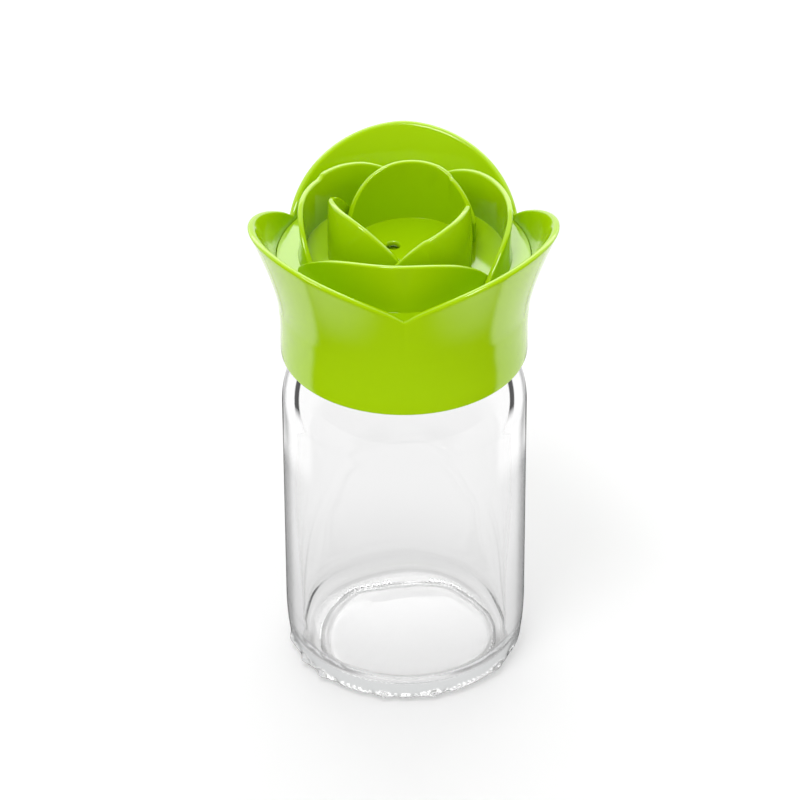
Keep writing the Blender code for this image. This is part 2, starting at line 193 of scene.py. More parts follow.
class Finishes(bpy.types.PropertyGroup):
    plastic: colour("Plastic", "Colour of the cap and the dial", (0.345, 0.56, 0.0010))
    glass: colour("Glass", "Tint of the glass", (0.975, 0.975, 0.975))
    frost: share("Frost", "Roughness of the knurled ring under the glass", 0.12)
    # The knurled ring's darkening is painted shade in the glass's base colour, where a contact shadow would fall; the
    # roughness above is the real frost
    knurl_painted_shade: share("Frost tint", "Darkening of the knurled ring under the glass", 0.33)
    # The edge and shoulder darkening is painted shade: the glass's base colour is darkened for the camera where it is
    # seen along its wall, standing in for the dark cards of a studio
    edge_painted_shade: share("Edge tint", "Darkening of the glass where it is seen along its wall", 0.55)
    shoulder_painted_shade: share("Shoulder tint", "The same at the shoulder, where the glass bends twice", 0.07)
    seal: colour("Seal", "Colour of the sealing ring", (0.80, 0.80, 0.76))
    gloss: share("Roughness", "Roughness of the moulded plastic", 0.10)


class StudioSettings(bpy.types.PropertyGroup):
    distance: size("Distance", "Distance from the camera to its target", 0.9025)
    elevation: share("Elevation", "Angle of the camera above the horizon, in degrees", 34.69)
    roll: share("Roll", "Roll of the camera, in degrees", 0.30)
    aim_x: size("Aim across", "Sideways place of the camera's target", -0.0009)
    aim_z: size("Aim height", "Height of the camera's target", 0.05985)
    lens: share("Lens", "Focal length in millimetres", 198.03)
    dome: share("Dome", "Strength of the even light from all round", 0.92)
    box_light: share("Soft box", "Radiance of the soft box behind and above", 2.6)
    top_light: share("Top light", "Radiance of the soft box overhead", 20.0)


def arc(middle, radius, start, end, steps):
    """Profile points on a circle: middle + radius (cos a, sin a), with a going evenly from start to end."""
    a = np.linspace(start, end, steps + 1)
    return np.stack([middle[0] + radius * np.cos(a), middle[1] + radius * np.sin(a)], 1)


def run(start, end, steps):
    """Profile points on a straight line, evenly spaced."""
    return np.linspace(start, end, steps + 1)


def fresh(points):
    """Marks the points that do not repeat the point before."""
    keep = np.ones(len(points), bool)
    keep[1:] = np.linalg.norm(np.diff(points, axis=0), axis=1) > 1e-7
    return keep


def chain(*runs):
    """Runs of profile points joined end to end, without the points that repeat."""
    points = np.concatenate(runs)
    return points[fresh(points)]


def smooth(x):
    """Smooth step from 0 to 1: 3 x x - 2 x x x, with x held between 0 and 1."""
    x = np.clip(x, 0.0, 1.0)
    return x * x * (3.0 - 2.0 * x)


def ring_angles(count=AROUND):
    """Even angles round the axis, in one column."""
    return (np.arange(count) * (TAU / count))[:, None]


def spun(angle, radius, height):
    """Points (radius cos angle, radius sin angle, height) for arrays that broadcast together."""
    angle, radius, height = np.broadcast_arrays(angle, radius, height)
    return np.stack([radius * np.cos(angle), radius * np.sin(angle), height], -1)


def turned(points, angle):
    """Points turned round Z by an angle."""
    c, s = math.cos(angle), math.sin(angle)
    x, y, z = points[..., 0], points[..., 1], points[..., 2]
    return np.stack([x * c - y * s, x * s + y * c, z], -1)


def petal_turn(angle, first):
    """Place of an angle along the petals: 0 at a petal's middle, -1 and 1 at the ends of its share of the ring."""
    return ((angle - first + HALF_PETAL) % PETAL_SPAN - HALF_PETAL) / HALF_PETAL


def helix(angle, height, start, thread, width=None):
    """Height from 0 to 1 of a thread ridge: at each lap its middle stands at start + lead (angle / turn + lap),
    with sloping sides, and it fades in and out over a sixteenth of a turn at its two ends."""
    ridge = np.zeros(np.broadcast(angle, height).shape)
    half = (width or thread.width) / 2.0
    for lap in range(int(math.ceil(thread.turns)) + 1):
        along = angle / TAU + lap
        off = np.abs(height - start - thread.lead * along)
        crest = smooth((half - off) / thread.flank + 0.5)
        ends = smooth(along * 16.0) * smooth((thread.turns - along) * 16.0)
        ridge = np.maximum(ridge, crest * ends)
    return ridge


class Shell:
    """Grids of points gathered into one mesh, whose shared edges are merged at the end."""

    def __init__(self):
        self.points = []
        self.quads = []
        self.count = 0

    def grid(self, points, wrap_u=False, wrap_v=False):
        """Adds a grid of shape (u, v, 3) and a face for each of its cells."""
        nu, nv = points.shape[:2]
        index = self.count + np.arange(nu * nv).reshape(nu, nv)
        if wrap_u:
            index = np.concatenate([index, index[:1]], 0)
        if wrap_v:
            index = np.concatenate([index, index[:, :1]], 1)
        cells = np.stack([index[:-1, :-1], index[1:, :-1], index[1:, 1:], index[:-1, 1:]], -1)
        self.points.append(points.reshape(-1, 3))
        self.quads.append(cells.reshape(-1, 4))
        self.count += nu * nv

    def fan(self, loop):
        """Closes a flat loop of points with a grid that shrinks to its middle."""
        middle = loop.mean(0)
        steps = np.linspace(0.0, 1.0, 3)[:, None, None]
        self.grid(loop[None] + (middle - loop)[None] * steps, wrap_v=True)

    def piece(self, name, material, sharp=50.0):
        """Makes the mesh object: seams and poles merged, faces pointing outwards, smooth but for sharp edges."""
        points = np.concatenate(self.points)
        quads = np.concatenate(self.quads)
        mesh = bpy.data.meshes.new(name)
        mesh.vertices.add(len(points))
        mesh.vertices.foreach_set("co", points.astype(np.float32).ravel())
        mesh.loops.add(quads.size)
        mesh.loops.foreach_set("vertex_index", quads.astype(np.int32).ravel())
        mesh.polygons.add(len(quads))
        mesh.polygons.foreach_set("loop_start", np.arange(0, quads.size, 4, dtype=np.int32))
        mesh.update(calc_edges=True)
        work = bmesh.new()
        work.from_mesh(mesh)
        bmesh.ops.remove_doubles(work, verts=work.verts, dist=1e-6)
        bmesh.ops.recalc_face_normals(work, faces=work.faces)
        work.to_mesh(mesh)
        work.free()
        mesh.shade_smooth()
        mesh.set_sharp_from_angle(angle=math.radians(sharp))
        mesh.materials.append(material)
        made = bpy.data.objects.new(name, mesh)
        bpy.context.scene.collection.objects.link(made)
        return made


def finish_piece(made, body, slot, *nodes):
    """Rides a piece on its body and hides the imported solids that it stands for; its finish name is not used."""
    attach(made, body)
    if nodes:
        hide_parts(*nodes)


class Nodes:
    """A node tree, with short ways to add its nodes and to join them."""

    def __init__(self, tree):
        self.tree = tree

    def feed(self, node, inputs):
        """Gives a node its inputs: plain values, or output sockets that are linked in."""
        for key, value in inputs.items():
            if isinstance(value, bpy.types.NodeSocket):
                self.tree.links.new(value, node.inputs[key])
            else:
                node.inputs[key].default_value = value

    def add(self, kind, inputs=(), **settings):
        """Adds a node with its settings and its inputs."""
        node = self.tree.nodes.new(kind if kind.startswith("NodeGroup") else "ShaderNode" + kind)
        for key, value in settings.items():
            setattr(node, key, value)
        self.feed(node, dict(inputs))
        return node

    def calc(self, operation, first, *others):
        """Math nodes in a row: the operation takes the first value and each of the others in turn."""
        for other in others:
            first = self.add("Math", {0: first, 1: other}, operation=operation).outputs[0]
        return first

    def times(self, *values):
        """The product of the values."""
        return self.calc("MULTIPLY", *values)

    def rest(self, value):
        """What a share leaves of 1."""
        return self.calc("SUBTRACT", 1.0, value)

    def blend(self, first, second, third):
        """first x second + third."""
        return self.add("Math", {0: first, 1: second, 2: third}, operation="MULTIPLY_ADD").outputs[0]

    def scaled(self, vector, factor):
        """A vector or colour times a factor."""
        return self.add("VectorMath", {0: vector, "Scale": factor}, operation="SCALE").outputs[0]

    def length(self, vector):
        """The length of a vector."""
        return self.add("VectorMath", {0: vector}, operation="LENGTH").outputs["Value"]

    def split(self, vector):
        """The three parts of a vector."""
        return self.add("SeparateXYZ", {0: vector}).outputs

    def ramp(self, source, low, high, start=0.0, end=1.0):
        """A smooth ramp: start below low and end above high."""
        inputs = {0: source, 1: low, 2: high, 3: start, 4: end}
        return self.add("MapRange", inputs, interpolation_type="SMOOTHSTEP").outputs[0]

    def band(self, source, low, full, fade, high, peak=1.0):
        """A smooth band: 0 below low, the peak from full to fade, and 0 above high."""
        return self.times(self.ramp(source, low, full, 0.0, peak), self.ramp(source, fade, high, 1.0, 0.0))


def moulded_group():
    """Node group for moulded surfaces: slow flow marks in the colour and gloss, and a fine grain in the height."""
    name = "Moulded Surface"
    if name in bpy.data.node_groups:
        return bpy.data.node_groups[name]
    group = bpy.data.node_groups.new(name, "ShaderNodeTree")
    sockets = (
        ("Colour", "INPUT", "Color", (0.5, 0.5, 0.5, 1.0)),
        ("Flow Scale", "INPUT", "Float", 40.0),
        ("Flow Change", "INPUT", "Float", 0.05),
        ("Roughness", "INPUT", "Float", 0.2),
        ("Roughness Change", "INPUT", "Float", 0.05),
        ("Grain Scale", "INPUT", "Float", 900.0),
        ("Grain Share", "INPUT", "Float", 0.3),
        ("Colour", "OUTPUT", "Color", None),
        ("Roughness", "OUTPUT", "Float", None),
        ("Height", "OUTPUT", "Float", None),
    )
    for label, way, kind, value in sockets:
        socket = group.interface.new_socket(label, in_out=way, socket_type="NodeSocket" + kind)
        if value is not None:
            socket.default_value = value
    nodes = Nodes(group)
    given = nodes.add("NodeGroupInput").outputs
    where = nodes.add("TexCoord").outputs["Object"]
    flow_look = {"Vector": where, "Scale": given["Flow Scale"], "Detail": 3.0, "Roughness": 0.5, "Distortion": 0.6}
    flow = nodes.add("TexNoise", flow_look).outputs["Fac"]
    grain_look = {"Vector": where, "Scale": given["Grain Scale"], "Detail": 2.0, "Roughness": 0.6}
    grain = nodes.add("TexNoise", grain_look).outputs["Fac"]
    swing = nodes.times(nodes.calc("SUBTRACT", flow, 0.5), 2.0)
    results = {
        "Colour": nodes.scaled(given["Colour"], nodes.blend(swing, given["Flow Change"], 1.0)),
        "Roughness": nodes.blend(swing, given["Roughness Change"], given["Roughness"]),
        "Height": nodes.blend(grain, given["Grain Share"], flow),
    }
    nodes.add("NodeGroupOutput", results)
    return group


def moulded(name, tint, roughness, ior, flow, change, grain, share_of_grain, bump):
    """A moulded material: the group gives colour, roughness and height, and the shader stays here."""
    if name in bpy.data.materials:
        return bpy.data.materials[name]
    made = bpy.data.materials.new(name)
    made.use_nodes = True
    made.diffuse_color = (*tint, 1.0)
    nodes = Nodes(made.node_tree)
    given = {
        "Colour": (*tint, 1.0),
        "Flow Scale": flow,
        "Flow Change": change,
        "Roughness": roughness,
        "Roughness Change": roughness * 0.25,
        "Grain Scale": grain,
        "Grain Share": share_of_grain,
    }
    surface = nodes.add("Group", given, node_tree=moulded_group()).outputs
    relief = nodes.add("Bump", {"Strength": 1.0, "Distance": bump, "Height": surface["Height"]}).outputs["Normal"]
    look = {"IOR": ior, "Base Color": surface["Colour"], "Roughness": surface["Roughness"], "Normal": relief}
    nodes.feed(made.node_tree.nodes["Principled BSDF"], look)
    return made


def plastic(name):
    """Glossy moulded plastic for the cap and the dial."""
    finish = bpy.context.scene.shaker_finishes
    return moulded(name, tuple(finish.plastic), finish.gloss, 1.56, 45.0, 0.03, 1500.0, 0.06, 0.00004)


def pressed_glass():
    """Clear pressed glass: plain transmission, with the slow waves that a press leaves in its normals. The knurled
    ring under the foot is rough, and painted shade darkens its base colour. For the camera, painted shade also
    darkens the base colour where the glass is seen along its wall, and in a stripe on each side of the shoulder,
    standing in for the dark cards of a studio. A small emission stands in for light that is trapped in the glass
    beyond the bounce limit."""
    finish = bpy.context.scene.shaker_finishes
    made = bpy.data.materials.new("clear_pressed_glass")
    made.use_nodes = True
    made.diffuse_color = (0.9, 0.95, 0.95, 0.4)
    nodes = Nodes(made.node_tree)
    where = nodes.add("TexCoord").outputs["Object"]
    waves = nodes.add("TexNoise", {"Vector": where, "Scale": 60.0, "Detail": 1.0, "Roughness": 0.4}).outputs["Fac"]
    relief = nodes.add("Bump", {"Strength": 1.0, "Distance": 0.00005, "Height": waves}).outputs["Normal"]
    _, depth, height = nodes.split(where)
    frost = nodes.times(
        nodes.band(height, 0.00002, 0.00008, 0.0004, 0.0005),
        nodes.ramp(nodes.length(where), 0.0209, 0.0213, 1.0, 0.0),
        nodes.ramp(depth, -0.018, -0.010),
    )
    rays = nodes.add("LightPath").outputs
    seen = rays["Is Camera Ray"]
    facing = nodes.add("LayerWeight", {"Blend": 0.5}).outputs["Facing"]
    shade = nodes.ramp(height, 0.046, 0.060, 1.0 - finish.edge_painted_shade, 1.0 - finish.shoulder_painted_shade)
    # Painted shade for the camera: the glass's base colour darkens where the glass is seen along its wall, less at
    # the shoulder
    edge = nodes.times(nodes.ramp(facing, 0.68, 0.79), seen, shade)
    # Painted shade for the camera: a dark stripe on each side of the shoulder, standing in for reflected dark cards
    streak = nodes.times(
        nodes.band(facing, 0.452, 0.470, 0.526, 0.546), nodes.band(height, 0.0632, 0.0655, 0.0700, 0.0720), seen
    )
    # Painted shade: the knurled ring's base colour darkened over the frost mask
    painted_knurl_darkening = nodes.ramp(frost, 0.0, 1.0, 1.0, finish.knurl_painted_shade)
    trapped = nodes.calc("GREATER_THAN", rays["Glossy Depth"], 3.5)
    direct = nodes.calc("LESS_THAN", rays["Transmission Depth"], 1.5)
    look = {
        "IOR": 1.5,
        "Transmission Weight": 1.0,
        "Normal": relief,
        "Base Color": nodes.scaled(tuple(finish.glass), nodes.times(painted_knurl_darkening, nodes.rest(edge), nodes.rest(streak))),
        "Roughness": nodes.ramp(frost, 0.0, 1.0, 0.0, finish.frost),
        "Emission Color": nodes.scaled((0.37, 0.375, 0.375), nodes.times(trapped, direct)),
        "Emission Strength": 1.0,
    }
    nodes.feed(made.node_tree.nodes["Principled BSDF"], look)
    return made


def jar_runs(jar):
    """The jar's profile as named runs of (radius, height): inside up to the lip, over it, down the neck, shoulder,
    body and heel, and under the foot. The heel draws in with the square of the way down. Returns the runs, and the
    radii where the foot's flat ring starts and ends."""
    inner = jar.radius - jar.wall
    inner_neck = jar.neck - jar.neck_wall
    middle = jar.radius - jar.shoulder_arc
    inner_arc = jar.shoulder_arc - jar.wall
    top = jar.straight_top
    inner_join = math.acos((inner_neck + jar.fillet - middle) / (inner_arc + jar.fillet))
    outer_join = math.acos((jar.neck + jar.fillet - middle) / (jar.shoulder_arc + jar.fillet))
    inner_root = top + (inner_arc + jar.fillet) * math.sin(inner_join)
    outer_root = top + (jar.shoulder_arc + jar.fillet) * math.sin(outer_join)
    lip = LIP_Z - jar.lip_round
    foot = jar.radius - jar.heel_inset - jar.heel_round
    rim = foot - FOOT_WIDTH
    down = np.linspace(0.0, 1.0, 13)
    drop = jar.heel_round - jar.heel_height
    heel = np.stack([jar.radius - jar.heel_inset * down**2, jar.heel_height + drop * down], 1)
    runs = [
        ("inside", run((0.0, jar.base), (inner - jar.corner, jar.base), 8)),
        ("inside", arc((inner - jar.corner, jar.base + jar.corner), jar.corner, -QUARTER, 0.0, 14)),
        ("inside", run((inner, jar.base + jar.corner), (inner, top), 10)),
        ("inside", arc((middle, top), inner_arc, 0.0, inner_join, 14)),
        ("inside", arc((inner_neck + jar.fillet, inner_root), jar.fillet, math.pi + inner_join, math.pi, 5)),
        ("plain", arc((inner_neck + jar.lip_round, lip), jar.lip_round, math.pi, QUARTER, 6)),
        ("plain", arc((jar.neck - jar.lip_round, lip), jar.lip_round, QUARTER, 0.0, 6)),
        ("neck", run((jar.neck, lip), (jar.neck, outer_root), 56)),
        ("plain", arc((jar.neck + jar.fillet, outer_root), jar.fillet, math.pi, math.pi + outer_join, 5)),
        ("plain", arc((middle, top), jar.shoulder_arc, outer_join, 0.0, 14)),
        ("plain", run((jar.radius, top), (jar.radius, jar.heel_height), 12)),
        ("heel", heel),
        ("heel", arc((foot, jar.heel_round), jar.heel_round, 0.0, -QUARTER, 10)),
        ("flat", run((foot, 0.0), (rim + KNURL_LAND, 0.0), 3)),
        ("ramp", run((rim + KNURL_LAND, 0.0), (rim, 0.0), 8)),
        ("ramp", run((rim, 0.0), (rim - jar.ramp, jar.recess), 12)),
        ("dome", run((rim - jar.ramp, jar.recess), (0.0, jar.recess), 12)),
    ]
    return runs, foot, rim


# Edge of the recess under the jar, an uneven ring: angles in degrees, then radii in millimetres
RECESS_EDGE = (
    (0, 12, 22, 37, 57, 74, 93, 113, 129, 147, 170, 182, 197, 216, 230, 250, 273, 293, 322, 345, 360),
    (
        20.6, 20.5, 19.2, 17.9, 17.5, 16.3, 15.6, 16.2, 17.8, 17.2, 17.4,
        17.8, 18.4, 19.6, 19.9, 20.4, 20.0, 19.7, 20.0, 20.6, 20.6,
    ),
)
# Lumps that the press leaves along the heel: angle in degrees, share of the lump height, height of the lump's
# middle in millimetres and width in degrees. Then how far a lump reaches up and down
HEEL_LUMPS = (
    (186, 0.9, 3.2, 3.0), (194, -0.8, 3.0, 2.5), (202, 1.0, 2.6, 2.5), (210, -0.9, 2.2, 2.2), (217, 1.0, 1.8, 2.0),
    (224, -1.0, 1.6, 2.2), (232, 0.9, 1.6, 2.0), (252, 0.8, 1.4, 1.8), (259, -0.9, 1.4, 1.6), (265, 0.8, 1.4, 1.6),
    (275, 0.7, 1.4, 1.8), (284, -0.8, 1.4, 1.8), (291, 0.8, 1.6, 2.0), (322, -0.7, 2.0, 4.0), (336, 0.7, 2.4, 4.0),
)
LUMP_REACH = 0.0011


class SHAKER_OT_jar(bpy.types.Operator):
    """Makes the glass jar with its neck thread and its knurled foot"""

    bl_idname = "shaker.jar"
    bl_label = "Glass Jar"

    def execute(self, context):
        """The profile is turned round Z. The neck's run moves out with the thread's ridge. The slope and dome of the
        recess are moved out to its uneven edge, with cosine knurls on the slope and the dome rising as
        1 - (radius share)^2. Bell shaped lumps press into the heel, and the inner wall strays by a few slow waves."""
        jar, thread = context.scene.shaker_jar, context.scene.shaker_thread
        runs, foot, rim = jar_runs(jar)
        names = np.concatenate([[name] * len(points) for name, points in runs])
        points = np.concatenate([points for _, points in runs])
        keep = fresh(points)
        names, radius, height = names[keep][None], points[keep][None, :, 0], points[keep][None, :, 1]
        angle = ring_angles()
        turn = np.degrees(angle) % 360.0

        ridge = helix(angle, height, jar.thread_start, thread, thread.width * 1.25)
        out = jar.thread_height * ridge * (names == "neck")

        waves = np.sin(2.0 * angle + 0.7) + 0.8 * np.sin(3.0 * angle + 2.1) + 0.5 * np.sin(5.0 * angle + 4.0)
        waves = waves * (1.0 + 0.6 * np.sin(height * 130.0 + 2.0 * angle))
        below_neck = smooth((LIP_Z - 0.012 - height) / 0.01)
        out = out - jar.sway * waves * (names == "inside") * smooth(radius / (jar.radius * 0.5)) * below_neck

        on_ramp, on_dome = names == "ramp", names == "dome"
        along = np.clip((rim + KNURL_LAND - radius) / (jar.ramp + KNURL_LAND), 0.0, 1.0)
        across = (foot - radius) / (foot - rim - KNURL_LAND) * (names == "flat")
        recess = np.interp(turn, *RECESS_EDGE) * 0.001
        shift = (recess - rim) * np.where(on_ramp | on_dome, 1.0, across)
        inward = np.where(on_dome, radius / (rim - jar.ramp), 1.0)
        teeth = np.cos(angle * jar.knurl_count + 1.3 * np.sin(7.0 * angle))
        teeth = teeth * np.cos(2.0 * TAU * along + 0.8 * np.sin(5.0 * angle)) * (0.8 + 0.2 * np.sin(11.0 * angle))
        grooves = jar.knurl_depth * (1.0 + teeth) * np.sin(math.pi * along) ** 0.6 * on_ramp
        out = out + shift * inward + grooves
        up = grooves + jar.dome * (1.0 - inward**2) * on_dome

        outside = np.isin(names, ("heel", "plain")) & (radius > 0.0205) & (height < 0.012)
        for place, part, middle, wide in HEEL_LUMPS:
            gap = (turn - place + 180.0) % 360.0 - 180.0
            bump = np.exp(-((gap / wide) ** 2) - ((height - middle * 0.001) / LUMP_REACH) ** 2)
            out = out - jar.lump * part * bump * outside
        shell = Shell()
        shell.grid(spun(angle, radius + out, height + up), wrap_u=True)
        made = shell.piece("pressed_glass_jar", pressed_glass(), 60.0)
        finish_piece(made, "jar", "clear_glass", "glass_jar")
        return {"FINISHED"}


class SHAKER_OT_seal(bpy.types.Operator):
    """Makes the soft sealing ring"""

    bl_idname = "shaker.seal"
    bl_label = "Sealing Ring"

    def execute(self, context):
        """A rounded section turned round Z, with two shallow grooves, cosine shaped, in each face."""
        seal = context.scene.shaker_seal
        low, high, edge = SEAL_LOW.z, SEAL_HIGH.z, seal.edge
        flat = np.linspace(seal.inner + edge, seal.outer - edge, 21)
        wave = seal.bead * 0.5 * (1.0 - np.cos((flat - flat[0]) / (flat[-1] - flat[0]) * 2.0 * TAU))
        section = chain(
            np.stack([flat, low + wave], 1),
            arc((seal.outer - edge, low + edge), edge, -QUARTER, 0.0, 4),
            arc((seal.outer - edge, high - edge), edge, 0.0, QUARTER, 4),
            np.stack([flat[::-1], high - wave], 1),
            arc((seal.inner + edge, high - edge), edge, QUARTER, 2.0 * QUARTER, 4),
            arc((seal.inner + edge, low + edge), edge, 2.0 * QUARTER, 3.0 * QUARTER, 4),
        )
        shell = Shell()
        shell.grid(spun(ring_angles(240), section[None, :, 0], section[None, :, 1]), wrap_u=True, wrap_v=True)
        tint = tuple(context.scene.shaker_finishes.seal)
        soft = moulded("soft_white_seal", tint, 0.55, 1.45, 60.0, 0.05, 2200.0, 0.5, 0.00003)
        finish_piece(shell.piece("soft_sealing_ring", soft), "seal", "soft_seal", "sealing_ring")
        return {"FINISHED"}


def holed_plate(shell, inner, outer, hole, circle, edge, low, high):
    """A round plate between two radii with a salt hole in each third. Each third is a wedge whose edge shrinks
    in straight lines to the hole's circle: over the top, round the hole's edge, down its wall and back below."""
    half, side_steps = HALF_PETAL, 12
    across = np.array([math.cos(half), math.sin(half)])
    mirror = np.array([1.0, -1.0])
    wedge = chain(
        arc((0.0, 0.0), outer, -half, half, AROUND // PETALS),
        run(outer * across, inner * across, side_steps),
        arc((0.0, 0.0), inner, half, -half, PIN_STEPS),
        run(inner * across * mirror, outer * across * mirror, side_steps),
    )[:-1]
    centre = np.array([circle, 0.0])
    reach = wedge - centre
    ray = reach / np.linalg.norm(reach, axis=1, keepdims=True)
    shrunk = [wedge + (centre + (hole + edge) * ray - wedge) * part for part in np.linspace(0.0, 1.0, 9) ** 0.8]
    bend = np.linspace(0.0, QUARTER, 5)
    collar = [centre + (hole + edge * (1.0 - math.sin(turn))) * ray for turn in bend]
    dip = edge * (1.0 - np.cos(bend))
    rows = shrunk + collar[1:] + collar[::-1] + shrunk[-2::-1]
    heights = np.concatenate([np.full(9, high), high - dip[1:], low + dip[::-1], np.full(8, low)])
    heights = np.broadcast_to(heights[:, None, None], (len(rows), len(wedge), 1))
    grid = np.concatenate([np.stack(rows), heights], -1)
    for index in range(PETALS):
        shell.grid(turned(grid, HOLE_FIRST + index * PETAL_SPAN), wrap_v=True)


def pin_sweep():
    """Angles round the pin, in one column, that fall on the steps of a holed plate's inner edge."""
    steps = PETALS * PIN_STEPS
    return HOLE_FIRST - HALF_PETAL + ring_angles(steps)


def outer_rim(angle, cap, floor_z):
    """Radius, height and rise of the outer petals' rim. With u the place along a petal, the rim rises by
    petal (1 - |u|^round)^sharp, softened at the notches, and widens by flare rise + curve rise rise."""
    u = np.abs(petal_turn(angle, OUTER_FIRST))
    rise = cap.petal * np.maximum(0.0, 1.0 - u**cap.petal_round) ** cap.petal_sharp
    soft = np.sqrt(rise**2 + cap.notch_round**2) - cap.notch_round * np.exp(-rise / (3.0 * cap.notch_round))
    return cap.well + cap.notch_rim + cap.flare * soft + cap.flare_curve * soft**2, floor_z + cap.notch + soft, soft


class SHAKER_OT_cap(bpy.types.Operator):
    """Makes the outer cap: skirt, flared petals, deck with salt holes, thread and stop groove"""

    bl_idname = "shaker.cap"
    bl_label = "Outer Cap"

    def execute(self, context):
        """At each angle a closed section: deck, cup wall, rounded rim, flared outer wall, skirt edge, bore and
        deck again. The wall's radius grows as the flare power of the height between its root and the rim, and the
        rim is a cubic curve that leaves both walls along their own slope."""
        cap, dial, thread = context.scene.shaker_cap, context.scene.shaker_dial, context.scene.shaker_thread
        deck_top = DECK_Z + cap.deck
        floor_z = deck_top + SEAT_GAP + dial.floor
        flare_z = SKIRT_Z + cap.straight
        swell = cap.skirt + cap.swell
        angle = ring_angles()
        rim_radius, rim_z, rise = outer_rim(angle, cap, floor_z)
        off_notch = smooth(rise / 0.002)
        rim_radius = rim_radius - 0.00006 * off_notch
        wall = cap.notch_rim + (cap.rim - cap.notch_rim) * off_notch
        lean = np.arctan2(rim_radius - swell, rim_z - flare_z)
        inner_radius = rim_radius - wall * np.cos(lean)
        inner_z = rim_z + wall * np.sin(lean) * 0.4

        groove_half, side = dial.stop_width / 2.0 + SEAT_GAP, 0.0001
        stations = [PATCH, 0.012, 0.0150, 0.0225, cap.well - 0.0002]
        for edge in (dial.stop_circle - groove_half, dial.stop_circle + groove_half):
            stations += [edge - side, edge, edge + side]
        deck_radius = np.sort(np.array(stations))[None, :]
        across = smooth((groove_half - np.abs(deck_radius - dial.stop_circle)) / side + 0.5)
        swing = (angle - LUG_PLACE + math.pi) % TAU - math.pi
        end = LUG_HALF + LUG_SLACK
        along = smooth((swing + DIAL_TRAVEL + end) / 0.006) * smooth((end - swing) / 0.006)
        deck_height = deck_top - dial.stop_depth * across * along

        inner_steps = np.linspace(0.0, 1.0, 19)[None, :]
        cup_radius = cap.well + (inner_radius - cap.well) * inner_steps**cap.flare_power
        cup_height = floor_z + (inner_z - floor_z) * inner_steps
        in_lean = np.arctan2(cap.flare_power * (inner_radius - cap.well), inner_z - floor_z)
        out_lean = np.arctan2(cap.flare_power * (rim_radius - swell), rim_z - flare_z)
        t = np.linspace(0.0, 1.0, 17)[None, 1:-1]
        first, second, third, last = (1 - t) ** 3, 3 * (1 - t) ** 2 * t, 3 * (1 - t) * t**2, t**3
        pull = cap.crown * wall
        rim_line, rim_height = (
            (first + second) * start + (third + last) * end + pull * (second * part(in_lean) + third * part(out_lean))
            for start, end, part in ((inner_radius, rim_radius, np.sin), (inner_z, rim_z, np.cos))
        )
        outer_steps = np.linspace(1.0, 0.0, 33)[None, :] ** 1.15
        wall_radius = swell + (rim_radius - swell) * outer_steps**cap.flare_power
        wall_height = flare_z + (rim_z - flare_z) * outer_steps
        sink = np.linspace(0.0, 1.0, 9)[None, 1:]
        skirt_height = flare_z - (flare_z - SKIRT_Z - cap.edge) * sink
        skirt_radius = cap.skirt + cap.swell * np.maximum(0.0, 1.0 - sink / 0.5) ** 1.5

        inside_edge, root = 0.0003, 0.0004
        bore_height = np.linspace(SKIRT_Z + inside_edge, DECK_Z - root, 64)[None, 1:]
        ridge = helix(angle, bore_height, context.scene.shaker_jar.thread_start - thread.lead / 2.0, thread)
        skirt_foot = chain(
            arc((cap.skirt - cap.edge, SKIRT_Z + cap.edge), cap.edge, 0.0, -QUARTER, 6)[1:],
            arc((cap.bore + inside_edge, SKIRT_Z + inside_edge), inside_edge, -QUARTER, -math.pi, 4),
        )
        under_deck = chain(
            arc((cap.bore - root, DECK_Z - root), root, 0.0, QUARTER, 4)[1:],
            np.array([[0.0190, DECK_Z], [0.0130, DECK_Z], [PATCH, DECK_Z]]),
        )
        columns = (
            (deck_radius, deck_height),
            (np.full((1, 2), cap.well), np.array([[deck_top, deck_top + 0.0006]])),
            (cup_radius, cup_height),
            (rim_line, rim_height),
            (wall_radius, wall_height),
            (skirt_radius, skirt_height),
            (skirt_foot[None, :, 0], skirt_foot[None, :, 1]),
            (cap.bore - cap.thread_height * ridge, bore_height),
            (under_deck[None, :, 0], under_deck[None, :, 1]),
        )
        shell = Shell()
        shell.grid(np.concatenate([spun(angle, radius, height) for radius, height in columns], 1), wrap_u=True)
        pin_hole = dial.pin + SEAT_GAP
        hole = dial.hole + dial.deck_hole_spread
        holed_plate(shell, pin_hole, PATCH, hole, dial.hole_circle, 0.0001, DECK_Z, deck_top)
        shell.grid(spun(pin_sweep(), pin_hole, np.linspace(deck_top, DECK_Z, 4)[None, :]), wrap_u=True)
        made = shell.piece("flared_outer_cap", plastic("lime_cap_plastic"), 40.0)
        finish_piece(made, "cap", "cap_plastic", "outer_cap")
        return {"FINISHED"}


